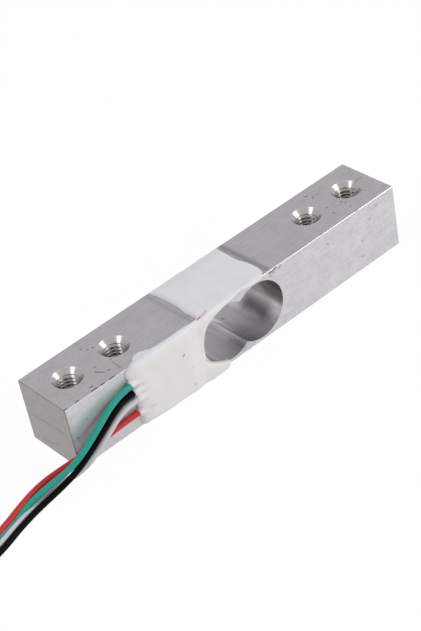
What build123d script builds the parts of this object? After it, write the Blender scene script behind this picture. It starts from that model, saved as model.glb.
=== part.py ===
from build123d import *
from math import cos, pi, radians, sin, tan
import os

# Weighing load cell: a square aluminium bar that bends at four thin walls, with strain gauges under silicone.
# Millimetres. X runs along the bar from the fixed end to the load end, Z is up and the gauged front is -Y.
# The origin is midway between the two holes of the fixed end, on the bar's underside.

# The bar
bar_side = 12.7
bar_length = 76.2
edge_break = 0.25

# The double cross bore and the four thin walls that it leaves
thin_wall = 0.65
bore_spacing = 7.3

# The tapped holes, as plain bores at the tap drill size, and their countersinks
end_margin = 5.6
hole_pitch = 10.0
tap_drill = 3.3
countersink_width = 5.6
underside_break = 0.3

# A strain gauge: its film, its foil meander and its two solder tabs
film_thick = 0.06
film_margin = 0.4
foil_thick = 0.02
grid_length = 2.6
grid_lines = 8
line_width = 0.14
tab_size = 0.9
tab_spacing = 1.7
tab_gap = 0.7

# The terminal board on the front face and its copper strips
board_length = 7.4
board_height = 8.6
board_thick = 0.4
board_clearance = 3.05
board_rise = 0.35
strip_width = 0.9
strip_margin = 0.4
strip_thick = 0.035

# The leads: insulated wire, the bare metal inside it, and each one's height from the middle of the front face
lead_width = 1.1
core_width = 0.45
lead_standoff = 0.15
lead_gap = 0.3
lead_offsets = {"green": 3.45, "black": 1.85, "white": 0.05, "red": -2.75}
tip_width = 0.6
tip_length = 5.0

# The enamelled wires from the board to the gauges: descent is where they step down from the board to the bar
jumper_width = 0.2
jumper_gap = 0.02
jumper_bend = 0.3
column_gap = 1.5
column_pitch = 0.5
descent = (0.15, 0.75)
crossing_pitch = 0.6
column_step = 0.12

# Solder: low round joints
joint_width = 0.8
joint_height = 0.35

# The silicone dabs
top_dab_thick = 0.65
side_dab_thick = 1.5
underside_dab_thick = 0.5
lip_thick = 1.2
thin_lip_thick = 0.5
lip_foot = 8.5
dab_edge = 0.25
rim_cover = 0.3
side_dab_reach = 5.1
dab_reach = 5.6
dab_overreach = 2.85
dab_back_margin = 0.3
dab_overhang = 0.45

# The coil of the leads' unseen length
coil_width = 12.4
ring_width = 6.0
ring_height = 5.9
ring_edge = 1.4
coil_center = (-41.5, -4.5)

# Places worked out from those sizes
half = bar_side / 2
front = -half
left_end = -(end_margin + hole_pitch / 2)
right_end = left_end + bar_length
middle = left_end + bar_length / 2
load_pair = right_end - end_margin - hole_pitch / 2
bore_radius = half - thin_wall
fixed_bore = middle - bore_spacing / 2
load_bore = middle + bore_spacing / 2
table = -underside_dab_thick

film_width = 2 * line_width * grid_lines + 2 * film_margin + tab_size - 2 * line_width
film_length = grid_length + tab_gap + tab_size + 2 * film_margin
tab_x = grid_length / 2 + tab_gap + tab_size / 2
tab_y = tab_spacing / 2
gauge_thick = film_thick + foil_thick
fixed_tab = fixed_bore + tab_x
load_tab = load_bore - tab_x

board_right = fixed_bore - bore_radius - board_clearance
board_left = board_right - board_length
board_x = board_right - board_length / 2
board_z = half + board_rise
strip_face = board_thick + strip_thick
lead_heights = {color: half + offset for color, offset in lead_offsets.items()}
lead_joint_x = board_left + strip_margin + joint_width
jumper_joint_x = board_right - strip_margin - joint_width
lead_start = board_left - lead_gap
lead_y = front - lead_standoff - lead_width / 2
lead_rest = table + lead_width / 2

# The jumpers that go down lie closest to the board and then to the bar, and those that go up cross them
layer_step = jumper_width + jumper_gap
inner_layer = front - jumper_gap - jumper_width / 2
outer_layer = inner_layer - layer_step
over_top = bar_side + gauge_thick + jumper_gap + jumper_width / 2
under_bar = bar_side - over_top
edge_clearance = 0.6
slant_height = 2.6
split = fixed_bore - bore_radius + 0.15


def swept_wire(points, radii, width):
    """A round wire along straight runs joined by tangent arcs."""
    path = FilletPolyline(*points, radius=radii)
    section = Plane(origin=path @ 0, z_dir=path % 0) * Circle(width / 2)
    return sweep(section, path=path)


def cord_radii(points):
    """For each corner of a lead's route, the largest arc that its two runs leave room for."""
    radii = []
    for a, b, c in zip(points, points[1:], points[2:]):
        before = Vector(*b) - Vector(*a)
        after = Vector(*c) - Vector(*b)
        turn = radians(before.get_angle(after))
        radii.append(0.45 * min(before.length, after.length) / tan(turn / 2))
    return radii


def hole_places():
    """The four hole centres along the bar."""
    return [pair + side * hole_pitch / 2 for pair in (0, load_pair) for side in (-1, 1)]


def hole_space():
    """The space of one hole: tap drill bore, 90 degree countersink above, small break below."""
    drill = tap_drill / 2
    mouth = countersink_width / 2
    profile = Polyline(
        (0, 0),
        (drill + underside_break, 0),
        (drill, underside_break),
        (drill, bar_side - (mouth - drill)),
        (mouth, bar_side),
        (0, bar_side),
        close=True,
    )
    return revolve(Plane.XZ * make_face(profile), axis=Axis.Z)


def beam():
    """The bar with broken edges, the double bore through its sides and the four holes down through it."""
    bar = Pos(middle, 0, half) * Box(bar_length, bar_side, bar_side)
    bar = chamfer(bar.edges(), edge_break)
    for bore_x in (fixed_bore, load_bore):
        bar -= Pos(bore_x, 0, half) * Rot(90, 0, 0) * Cylinder(bore_radius, 2 * bar_side)
    for hole_x in hole_places():
        bar -= Pos(hole_x, 0, 0) * hole_space()
    return bar


def gauge_places():
    """Each gauge's place: its own X runs from the grid to the tabs, and its Z away from the bar."""
    flip = Rot(180, 0, 0)
    turn = Rot(0, 0, 180)
    return {
        "top_fixed": Pos(fixed_bore, 0, bar_side),
        "top_load": Pos(load_bore, 0, bar_side) * turn,
        "under_fixed": Pos(fixed_bore, 0, 0) * flip,
        "under_load": Pos(load_bore, 0, 0) * flip * turn,
    }


def gauge_film():
    """The carrier film, a margin larger than its foil."""
    start = -grid_length / 2 - film_margin
    return Pos(start + film_length / 2, 0, film_thick / 2) * Box(film_length, film_width, film_thick)


def gauge_foil():
    """The foil: parallel lines joined at alternate ends, and two tabs on the first and the last line."""
    pitch = 2 * line_width
    grid_end = grid_length / 2
    shape = Sketch()
    for i in range(grid_lines):
        y = (i - (grid_lines - 1) / 2) * pitch
        shape += Pos(0, y) * Rectangle(grid_length, line_width)
        if i < grid_lines - 1:
            side = 1 if i % 2 else -1
            turn = Pos(side * (grid_end - line_width / 2), y + pitch / 2)
            shape += turn * Rectangle(line_width, pitch + line_width)
    for side in (-1, 1):
        line_y = side * (grid_lines - 1) / 2 * pitch
        arm = Rectangle(tab_gap + 2 * line_width, line_width)
        shape += Pos(grid_end + tab_gap / 2, line_y) * arm
        shape += Pos(tab_x, side * tab_y) * Rectangle(tab_size, tab_size)
    return Pos(0, 0, film_thick) * extrude(shape, foil_thick)


def solder(height):
    """One round solder joint of a given height, eased at its top."""
    blob = Pos(0, 0, height / 2) * Cylinder(joint_width / 2, height)
    return fillet(blob.edges().group_by(Axis.Z)[-1], joint_height / 2)


def gauge_joints():
    """The solder on the two tabs of each gauge."""
    return [
        place * Pos(tab_x, side * tab_y, gauge_thick) * solder(joint_height)
        for place in gauge_places().values()
        for side in (-1, 1)
    ]


def on_front(x, z, depth=0.0):
    """A place on the front face, so far out from it, with its own Z pointing away from the bar."""
    return Pos(x, front - depth, z) * Rot(90, 0, 0)


def terminal_board():
    """The bare board, flat on the front face."""
    return on_front(board_x, board_z, board_thick / 2) * Box(board_length, board_height, board_thick)


def terminal_strips():
    """One copper strip for each lead, along the board at that lead's height."""
    strip = Box(board_length - 2 * strip_margin, strip_width, strip_thick)
    depth = board_thick + strip_thick / 2
    return [on_front(board_x, z, depth) * strip for z in lead_heights.values()]


def strip_joints(x):
    """The solder on all four strips at one end of the board, tall enough to take in the wires."""
    height = joint_height + core_width / 2
    return [on_front(x, z, strip_face) * solder(height) for z in lead_heights.values()]


def lead_tails():
    """Each lead's bare tail, from the end of its insulation into its joint."""
    length = lead_joint_x - lead_start
    tail = Rot(0, 90, 0) * Cylinder(core_width / 2, length)
    return [Pos(lead_start + length / 2, lead_y, z) * tail for z in lead_heights.values()]


def jumper(color, column, upward, on_face):
    """One jumper: along its strip, down to the bar and along its column, over the edge and on to a tab."""
    layer = outer_layer if upward else inner_layer
    board_layer = layer - strip_face
    level = over_top if upward else under_bar
    z = lead_heights[color] + (column_step if upward else -column_step)
    column_x = board_right + column_gap + column * column_pitch
    crossing_x = split + edge_clearance + column * crossing_pitch
    slant = bar_side - slant_height if upward else slant_height
    edge = bar_side - edge_clearance if upward else edge_clearance
    points = [
        (jumper_joint_x, board_layer, z),
        (board_right + descent[0], board_layer, z),
        (board_right + descent[1], layer, z),
        (column_x, layer, z),
    ]
    if abs(slant - z) > 3 * jumper_bend:
        points.append((column_x, layer, slant))
    points.append((crossing_x, layer, edge))
    points.append((crossing_x, layer, level))
    points += [(x, y, level) for x, y in on_face]
    bends = [jumper_bend] * (len(points) - 2)
    return swept_wire(points, bends, jumper_width)


def jumpers():
    """The six jumpers of the bridge: three go over the top edge and three under the bar."""
    crossing = split + edge_clearance
    to_near_tab = [(crossing + 1.7, -3.6), (fixed_tab, -tab_y)]
    to_far_tab = [(crossing + 1.1, -2.6), (crossing + 1.9, 1.6), (fixed_tab - 3.1, 2.4), (fixed_tab, tab_y)]
    to_load_tab = [(crossing + 0.3, -2.2), (crossing + 1.3, 2.5), (load_tab - 1.3, 3.1), (load_tab, tab_y)]
    under_near_tab = [(crossing + 1.5, -3.0), (fixed_tab, -tab_y)]
    under_far_tab = [(crossing + 3.1, -4.4), (fixed_tab + 1.0, -2.2), (fixed_tab, tab_y)]
    under_load_tab = [(crossing + 3.9, -5.2), (load_tab - 0.3, -3.5), (load_tab, -tab_y)]
    return {
        "jumper_top_red": jumper("red", 2, True, to_near_tab),
        "jumper_top_white": jumper("white", 1, True, to_far_tab),
        "jumper_top_green": jumper("green", 0, True, to_load_tab),
        "jumper_under_white": jumper("white", 0, False, under_near_tab),
        "jumper_under_black": jumper("black", 1, False, under_far_tab),
        "jumper_under_green": jumper("green", 2, False, under_load_tab),
    }


def gauge_link(level, y):
    """The short straight wire between the two gauges of one face."""
    length = load_tab - fixed_tab - joint_width / 2
    return Pos(middle, y, level) * Rot(0, 90, 0) * Cylinder(jumper_width / 2, length)


# The leads' routes, from the board to the coil: down the front face and over the table, chosen by hand
lead_routes = {
    "green": [
        (lead_start, lead_y, lead_heights["green"]),
        (1.0, lead_y - 0.05, 9.9),
        (-5.6, -8.1, 7.5),
        (-12.4, -8.7, 4.2),
        (-18.4, -7.6, 1.6),
        (-24.6, -7.0, lead_rest),
        (-30.0, -8.6, lead_rest),
        (-35.0, -8.9, lead_rest),
        (-38.4, -8.6, lead_rest),
    ],
    "black": [
        (lead_start, lead_y, lead_heights["black"]),
        (1.4, lead_y - 0.05, 8.1),
        (-4.6, -8.2, 6.2),
        (-10.4, -9.6, 3.3),
        (-16.6, -9.9, 0.9),
        (-23.4, -9.5, lead_rest),
        (-29.8, -11.2, lead_rest),
        (-35.2, -11.5, lead_rest),
        (-39.4, -11.1, lead_rest),
    ],
    "white": [
        (lead_start, lead_y, lead_heights["white"]),
        (1.6, lead_y - 0.05, 6.3),
        (-4.6, -8.1, 4.2),
        (-10.2, -8.7, 1.4),
        (-16.4, -8.4, lead_rest),
        (-23.4, -8.3, lead_rest),
        (-29.8, -9.9, lead_rest),
        (-35.0, -10.2, lead_rest),
        (-38.8, -9.8, lead_rest),
    ],
    "red": [
        (lead_start, lead_y, lead_heights["red"]),
        (1.2, lead_y - 0.05, 3.7),
        (-5.6, -7.2, 3.0),
        (-12.0, -7.1, 2.1),
        (-18.0, -5.8, 0.6),
        (-24.0, -5.7, lead_rest),
        (-30.0, -7.3, lead_rest),
        (-34.8, -7.6, lead_rest),
        (-38.0, -7.2, lead_rest),
    ],
}


def leads_coil():
    """The closed outer shape of the coil: one round ring lying on the table."""
    ring = chamfer(Rectangle(ring_width, ring_height).vertices(), ring_edge)
    face = Plane.XZ * (Pos(coil_width / 2, ring_height / 2) * ring)
    return Pos(*coil_center, table) * revolve(face, axis=Axis.Z)


# Where each bare tip leaves the coil, as an angle round it, and which way the tip then points
tip_angles = {"green": (47, 20), "black": (38, 7), "white": (29, -6), "red": (20, -19)}


def lead_tip(color):
    """The bare tinned far end of one lead, which starts at the coil's rim and lies over the table."""
    place, heading = tip_angles[color]
    rim = coil_width / 2 + ring_width / 2
    foot = Vector(rim * cos(radians(place)), rim * sin(radians(place)), lead_rest)
    way = Vector(cos(radians(heading)), sin(radians(heading)), 0)
    start = Vector(*coil_center, 0) + foot - way * lead_width
    plane = Plane(origin=start, z_dir=way)
    return extrude(plane * Circle(tip_width / 2), tip_length + lead_width)


def wavy(start, end, offsets):
    """A side of a dab: evenly spaced points from corner to corner, each pushed to the left of the way."""
    run = Vector(*end) - Vector(*start)
    left = Vector(-run.Y, run.X).normalized()
    count = len(offsets)
    return [start + run * ((i + 0.5) / count) + left * offset for i, offset in enumerate(offsets)]


def rim_points(angles):
    """Points of the silicone's edge round the fixed end's bore, which it covers a little."""
    radius = bore_radius - rim_cover
    return [
        Vector(fixed_bore + radius * cos(radians(a)), half + radius * sin(radians(a))) for a in angles
    ]


def laid_on(plane, face, thick):
    """Silicone of an even thickness laid on a plane, with an eased outer edge."""
    solid = extrude(plane * face, thick)
    far = solid.faces().sort_by(Axis(plane.origin, plane.z_dir))[-1]
    return chamfer(far.edges(), dab_edge)


def smooth_face(points):
    """A face inside one smooth closed curve."""
    return make_face(Spline(*points, periodic=True))


def rounded_face(points, corner=0.35):
    """A face inside straight sides with rounded corners."""
    face = make_face(Polyline(*points, close=True))
    return fillet(face.vertices(), corner)


top_plane = Plane(origin=(0, 0, bar_side), x_dir=(1, 0, 0), z_dir=(0, 0, 1))
under_plane = Plane(origin=(0, 0, 0), x_dir=(1, 0, 0), z_dir=(0, 0, -1))
front_plane = Plane(origin=(0, front, 0), x_dir=(1, 0, 0), z_dir=(0, -1, 0))
dab_left = fixed_bore - dab_reach
dab_right = load_bore + dab_overreach
dab_back = half - dab_back_margin
dab_front = front - dab_overhang


def lip_corner():
    """The block beside the fixed end's bore, above the lip's foot, where the top dab's lip lies."""
    size = 4 * bar_side
    return Pos(split + size / 2, 0, lip_foot + size / 2) * Box(size, size, size)


def sealant_top():
    """The dab over the top gauges, with its lip over the front edge."""
    left_wave = [-0.45, -0.05, 0.15, 0.15, 0.05, -0.1, -0.05, 0.0]
    right_wave = [0.2, -0.25, -0.35, -0.2, 0.1, 0.4, 0.3, 0.2]
    outline = wavy((dab_left, dab_back), (dab_left, dab_front), left_wave)
    outline += wavy((dab_left, dab_front), (dab_right, dab_front), [0.05, -0.05, 0.0, -0.05, 0.0])
    outline += wavy((dab_right, dab_front), (dab_right, dab_back), right_wave)
    outline += wavy((dab_right, dab_back), (dab_left, dab_back), [0.05, 0.0, 0.05, 0.0, 0.05])
    over = bar_side + dab_overhang
    lip = [Vector(split - 2, lip_foot - 2)]
    lip += rim_points([170, 152, 134, 114])
    lip += [Vector(fixed_bore + 1.4, half + bore_radius), Vector(fixed_bore + 1.6, over)]
    lip += [Vector(split - 2, over)]
    thin_lip = [
        Vector(fixed_bore, half + bore_radius),
        Vector(load_bore - 3.4, half + bore_radius + 0.2),
        Vector(load_bore + 1.6, half + bore_radius - 0.1),
        Vector(load_bore + 2.3, over),
        Vector(fixed_bore, over),
    ]
    solid = laid_on(top_plane, smooth_face(outline), top_dab_thick)
    solid += laid_on(front_plane, rounded_face(lip), lip_thick) & lip_corner()
    solid += laid_on(front_plane, rounded_face(thin_lip, 0.25), thin_lip_thick)
    return solid


def sealant_side():
    """The dab on the front face, from the leads' way out to the first bore, lapping on to the top face."""
    left = board_left - side_dab_reach
    foot = edge_break
    corner = fixed_bore - 0.4
    outline = wavy((left, bar_side), (left, foot), [-0.5, -0.1, 0.5, 0.2, 0.5])
    outline += wavy((left, foot), (corner, foot), [0.05, 0.0, -0.05, -0.1, -0.25, -0.5, -0.56, -0.42])
    outline += rim_points([258, 240, 220, 200, 180, 160, 145])
    outline += [Vector(split + 1.2, bar_side - 1.2), Vector(split + 0.2, bar_side - 0.1)]
    outline += wavy((split, bar_side), (left, bar_side), [0.0, 0.05, 0.0, -0.05, 0.0])
    lap = [
        (left + 0.9, dab_front),
        (left + 1.3, front + 1.2),
        (left + 2.8, front + 1.7),
        (left + 4.3, front + 0.8),
        (left + 7.6, front + 0.5),
        (left + 9.0, dab_front),
    ]
    solid = laid_on(front_plane, smooth_face(outline), side_dab_thick)
    solid += laid_on(top_plane, rounded_face(lap), thin_lip_thick)
    return solid - lip_corner()


def sealant_underside():
    """The dab over the gauges of the underside: the part rests on its flat face."""
    outline = wavy((dab_left, -dab_back), (dab_left, -dab_front), [0.1, -0.2, -0.1, 0.1, -0.15, 0.0])
    outline += wavy((dab_left, -dab_front), (dab_right, -dab_front), [0.05, 0.0, 0.2, 0.25, 0.2])
    outline += wavy((dab_right, -dab_front), (dab_right, -dab_back), [0.3, -0.1, 0.1, -0.15, 0.1, 0.3])
    outline += wavy((dab_right, -dab_back), (dab_left, -dab_back), [0.1, 0.0, 0.15, 0.05, 0.1])
    return laid_on(under_plane, smooth_face(outline), underside_dab_thick)


def less(solid, others):
    """A solid with the space of others taken out of it, and any crumb that this leaves dropped."""
    for other in others:
        solid = solid - other
    return solid.solids().sort_by(SortBy.VOLUME)[-1]


def wires():
    """The enamelled wires: the six jumpers, and one link on each gauged face."""
    found = jumpers()
    found["gauge_link_top"] = gauge_link(over_top, -tab_y)
    found["gauge_link_under"] = gauge_link(under_bar, tab_y)
    return found


def bridge_parts():
    """The gauges, the board, their wires and their solder, which takes in the wires' ends."""
    parts = {}
    for name, place in gauge_places().items():
        parts["gauge_film_" + name] = [place * gauge_film()]
        parts["gauge_foil_" + name] = [place * gauge_foil()]
    parts["terminal_board"] = [terminal_board()]
    parts["terminal_strips"] = terminal_strips()
    parts["lead_tails"] = lead_tails()
    for name, wire in wires().items():
        parts[name] = [wire]
    metal = [wire for name in wires() for wire in parts[name]]
    parts["lead_joints"] = [less(joint, lead_tails()) for joint in strip_joints(lead_joint_x)]
    parts["jumper_joints"] = [less(joint, metal) for joint in strip_joints(jumper_joint_x)]
    parts["gauge_joints"] = [less(joint, metal) for joint in gauge_joints()]
    return parts


def cord_parts():
    """The coil, each lead up to the coil's rim, and each lead's bare tip from that rim on."""
    coil = leads_coil()
    parts = {"leads_coil": [coil]}
    for color, route in lead_routes.items():
        radii = cord_radii(route)
        tube = swept_wire(route, radii, lead_width)
        length = FilletPolyline(*route, radius=radii).length
        share = tube.volume / (pi * lead_width ** 2 / 4 * length)
        print(color, "radii", [round(radius, 1) for radius in radii], "volume share", round(share, 4))
        parts["lead_" + color] = [less(tube, [coil])]
        parts["lead_" + color + "_tip"] = [less(lead_tip(color), [coil])]
    return parts


def all_parts():
    """Every node by name, each as a list of its solids."""
    parts = {"beam": [beam()]}
    parts.update(bridge_parts())
    parts.update(cord_parts())
    bare = ("beam", "leads_coil")
    buried = [solid for name, solids in parts.items() if name not in bare for solid in solids]
    under = sealant_underside()
    top = sealant_top()
    side = less(sealant_side(), [under, top, parts["beam"][0]])
    parts["sealant_underside"] = [less(under, buried)]
    parts["sealant_top"] = [less(top, [parts["beam"][0]] + buried)]
    parts["sealant_side"] = [less(side, buried)]
    return parts


os.makedirs("parts", exist_ok=True)
for name, solids in all_parts().items():
    shape = solids[0] if len(solids) == 1 else Compound(solids)
    export_step(shape, f"parts/{name}.step")
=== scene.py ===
# %% [markdown]
# A weighing load cell is a square aluminium bar that bends at four thin walls. Silicone covers its strain
# gauges, and four coloured leads carry the signal away. The frame holds the measured solids. This lesson
# gives them the look of the real thing, in metres and in the frame's own axes: X along the bar from the fixed
# end, Z up, and the gauged front facing -Y.

import bmesh
import bpy
import numpy as np
from mathutils import Matrix, Vector


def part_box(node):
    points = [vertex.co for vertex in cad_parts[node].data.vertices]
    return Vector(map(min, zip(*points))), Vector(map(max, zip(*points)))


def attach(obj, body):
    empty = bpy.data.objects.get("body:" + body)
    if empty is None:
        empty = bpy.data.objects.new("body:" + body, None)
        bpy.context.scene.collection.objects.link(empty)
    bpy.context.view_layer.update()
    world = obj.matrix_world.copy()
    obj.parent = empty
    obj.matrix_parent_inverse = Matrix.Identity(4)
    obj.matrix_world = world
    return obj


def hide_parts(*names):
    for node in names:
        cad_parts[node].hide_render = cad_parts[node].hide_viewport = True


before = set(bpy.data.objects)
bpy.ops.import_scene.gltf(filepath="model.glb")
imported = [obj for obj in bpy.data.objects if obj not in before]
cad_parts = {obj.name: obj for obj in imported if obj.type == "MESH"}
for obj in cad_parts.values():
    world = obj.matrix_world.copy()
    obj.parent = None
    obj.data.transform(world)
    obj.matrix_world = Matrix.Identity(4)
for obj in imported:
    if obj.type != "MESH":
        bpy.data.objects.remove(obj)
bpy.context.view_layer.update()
MM = 0.001
print("nodes in the frame:", len(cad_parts))

# %% [markdown]
# The sizes below repeat the real bar's. The bar's own box gives its length and side, and the rest follows
# from how such a cell is made: two holes at each end and two cross bores that run into each other.

# %% Sizes of the bar in millimetres
beam_low, beam_high = (np.array(corner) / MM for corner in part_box("beam"))
left_end, front, underside = beam_low
right_end, back, top = beam_high
side = top - underside
half = side / 2
middle = (left_end + right_end) / 2
break_size = 0.1
bore_radius = 5.7
bore_offset = 3.65
hole_centers = [-5.0, 5.0, 50.0, 60.0]
hole_reach = 5.0
mouth_radius = 2.8
under_mouth_radius = 2.05
minor_radius = 1.65
major_radius = 2.0
thread_pitch = 0.7
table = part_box("sealant_underside")[0].z / MM
print("bar", round(right_end - left_end, 2), "by", round(side, 2), "mm, table at", round(table, 2))

# %% [markdown]
# Every surface here is a grid of points with faces between neighbours. A few helpers list a grid's faces,
# put points and faces into a mesh, read a finished mesh and its points back, and weld shared borders.

# %% Helpers for meshes
def grid_faces(rows, columns, close_columns=False):
    """Quads of a grid: point (i, j) has number i * columns + j, and each quad joins it to i + 1 and j + 1."""
    i = np.arange(rows - 1)
    j = np.arange(columns if close_columns else columns - 1)
    i, j = (a.ravel() for a in np.meshgrid(i, j, indexing="ij"))
    here = i * columns
    below = here + columns
    right = (j + 1) % columns
    return np.stack([here + j, here + right, below + right, below + j], axis=1)


def add_object(name, data):
    """A new object in the scene that shows the given data."""
    made = bpy.data.objects.new(name, data)
    bpy.context.scene.collection.objects.link(made)
    return made


def make_piece(name, parts):
    """One mesh object from (points in millimetres, faces) pairs, placed by its mesh alone. A part's faces are
    one array, or a list of arrays where quads and triangles meet."""
    points = [np.asarray(place, float).reshape(-1, 3) for place, blocks in parts]
    starts = np.cumsum([0] + [len(place) for place in points])
    faces = []
    for start, (place, blocks) in zip(starts, parts):
        for block in blocks if isinstance(blocks, list) else [blocks]:
            faces += (block + start).tolist()
    mesh = bpy.data.meshes.new(name)
    mesh.from_pydata((np.concatenate(points) * MM).tolist(), [], faces)
    return add_object(name, mesh)


def finished_mesh(piece):
    """A mesh of the piece as its modifiers or its spline leave it."""
    bpy.context.view_layer.update()
    return bpy.data.meshes.new_from_object(piece.evaluated_get(bpy.context.evaluated_depsgraph_get()))


def mesh_points(mesh):
    """All points of a mesh as one array, in metres."""
    points = np.empty(len(mesh.vertices) * 3)
    mesh.vertices.foreach_get("co", points)
    return points.reshape(-1, 3)


def weld(piece, distance=1e-6):
    """Merge the points that borders share, drop faces left without area and turn all faces outwards."""
    made = bmesh.new()
    made.from_mesh(piece.data)
    bmesh.ops.remove_doubles(made, verts=made.verts, dist=distance)
    bmesh.ops.dissolve_degenerate(made, edges=made.edges, dist=distance / 2)
    bmesh.ops.recalc_face_normals(made, faces=made.faces)
    open_edges = sum(1 for edge in made.edges if not edge.is_manifold)
    made.to_mesh(piece.data)
    made.free()
    print(piece.name, len(piece.data.polygons), "faces,", open_edges, "open edges")
    return piece


# %% [markdown]
# The bar was sawn and milled from square stock, then drilled, countersunk and tapped. A boolean cut could
# make it, but a grid keeps every edge clean. All long edges share one list of stations along X, so the faces,
# the rings round the holes and the narrow edge breaks meet point to point, and welding closes the skin.

# %% Stations along the bar and across it
bore_reach = 10.4
plain_steps = 8
hole_steps = 20
bore_steps = 52


def spread(*stops):
    """Values from one stop to the next: each stop is (value, steps taken to reach it)."""
    values = [stops[0][0]]
    for value, steps in stops[1:]:
        values += list(np.linspace(values[-1], value, steps + 1)[1:])
    return np.array(values)


fixed_stop = hole_centers[1] + hole_reach
load_stop = hole_centers[2] - hole_reach
along = spread(
    (left_end + break_size, 0), (hole_centers[0] - hole_reach, 1),
    (hole_centers[0] + hole_reach, hole_steps), (fixed_stop, hole_steps),
    (middle - bore_reach, plain_steps), (middle, bore_steps // 2),
    (middle + bore_reach, bore_steps // 2), (load_stop, plain_steps),
    (hole_centers[2] + hole_reach, hole_steps), (hole_centers[3] + hole_reach, hole_steps),
    (right_end - break_size, 1),
)
across = np.linspace(front + break_size, back - break_size, hole_steps + 1)
upward = np.linspace(underside + break_size, top - break_size, hole_steps + 1)
print("stations along the bar:", len(along))

# %% Flat patches: a plain one, and a ring round an opening
def between(values, low, high):
    """The stations from low to high, ends included."""
    return values[(values >= low - 1e-6) & (values <= high + 1e-6)]


def plate(us, vs):
    """A flat grid: every pair of the stations us and vs."""
    u, v = np.meshgrid(us, vs, indexing="ij")
    return np.stack([u, v], axis=-1).reshape(-1, 2), grid_faces(len(us), len(vs))


def perimeter(us, vs):
    """The border points of a rectangle of stations, once round."""
    low = np.stack([us[:-1], np.full(len(us) - 1, vs[0])], axis=1)
    right = np.stack([np.full(len(vs) - 1, us[-1]), vs[:-1]], axis=1)
    high = np.stack([us[:0:-1], np.full(len(us) - 1, vs[-1])], axis=1)
    left = np.stack([np.full(len(vs) - 1, us[0]), vs[:0:-1]], axis=1)
    return np.concatenate([low, right, high, left])


def ring(us, vs, radius_at, rows=5):
    """A flat ring: rows blend the rectangle's border into the curve centre + radius_at(angle) * direction."""
    border = perimeter(us, vs)
    center = np.array([(us[0] + us[-1]) / 2, (vs[0] + vs[-1]) / 2])
    angle = np.arctan2(*(border - center).T[::-1])
    inner = center + radius_at(angle)[:, None] * np.stack([np.cos(angle), np.sin(angle)], axis=1)
    share = np.linspace(0, 1, rows)[:, None, None]
    points = border * (1 - share) + inner * share
    return points.reshape(-1, 2), grid_faces(rows, len(border), close_columns=True), angle, inner


def lobe_radius(angle):
    """Distance from the middle to the double bore: the farther side of a circle set off by bore_offset."""
    shift = bore_offset * np.abs(np.cos(angle))
    return shift + np.sqrt(bore_radius ** 2 - (bore_offset * np.sin(angle)) ** 2)


def round_radius(radius):
    """A function of the angle that gives one radius all round."""
    return lambda angle: np.full_like(angle, radius)


# %% [markdown]
# Each hole was drilled, opened to a cone at the top and cut with a thread. A cylinder and a normal map
# could suggest that, but a look into the hole shows real ridges. So its wall is one screw surface: a V that
# climbs by one pitch each time round, and that gives way to the cone wherever the cone is wider.

# %% The threaded wall of one hole
rows_per_turn = 12
flank_gain = 1.35
crest_land = 0.15


def thread_wall(center_x, angle):
    """A screw surface: the radius follows a V along turns = z / pitch - angle / 2 pi, or the cone if wider.
    The V is stretched by flank_gain and lowered by crest_land, which leaves its crests and roots flat."""
    rows = int(side / thread_pitch * rows_per_turn)
    z = np.linspace(underside, top, rows)[:, None]
    turns = z / thread_pitch - angle[None, :] / (2 * np.pi)
    height = 1 - np.abs(2 * (turns % 1) - 1)
    depth = np.clip(flank_gain * height - crest_land, 0, 1)
    radius = minor_radius + (major_radius - minor_radius) * depth
    radius = np.maximum(radius, mouth_radius - (top - z))
    radius = np.maximum(radius, under_mouth_radius - (z - underside))
    x = center_x + radius * np.cos(angle)
    y = radius * np.sin(angle)
    points = np.stack([x, y, np.broadcast_to(z, x.shape)], axis=-1)
    return points, grid_faces(rows, len(angle), close_columns=True)


# %% The bar's six faces
def on_plane(flat, axis, value):
    """Flat points set on the plane where one of the three axes has a value, the other two in order."""
    return np.insert(flat, axis, value, axis=1)


def level_face(z, mouth):
    """The top or the underside: plain stretches between the rings of the four holes."""
    made = [plate(between(along, along[0], hole_centers[0] - hole_reach), across)]
    for center in hole_centers:
        us = between(along, center - hole_reach, center + hole_reach)
        flat, faces, angles, _ = ring(us, across, round_radius(mouth))
        made.append((flat, faces))
    made.append(plate(between(along, fixed_stop, load_stop), across))
    made.append(plate(between(along, hole_centers[3] + hole_reach, along[-1]), across))
    return [(on_plane(flat, 2, z), faces) for flat, faces in made], angles


def upright_face(y):
    """The front or the back: plain stretches on both sides of the double bore's ring."""
    low = middle - bore_reach
    high = middle + bore_reach
    flat, faces, _, inner = ring(between(along, low, high), upward, lobe_radius)
    made = [plate(between(along, along[0], low), upward), (flat, faces)]
    made.append(plate(between(along, high, along[-1]), upward))
    return [(on_plane(flat, 1, y), faces) for flat, faces in made], inner


# %% The bar's edges, and the whole bar
wall_rows = 9
sharp_angle = 32


def edge_strip(values, axis, *pairs):
    """A band of quads between two rows along one axis, each row at a pair of values for the other two."""
    fixed = [np.tile(np.array(pair, float), (len(values), 1)) for pair in pairs]
    rows = [np.insert(pair, axis, values, axis=1) for pair in fixed]
    return np.stack(rows), grid_faces(2, len(values))


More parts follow.
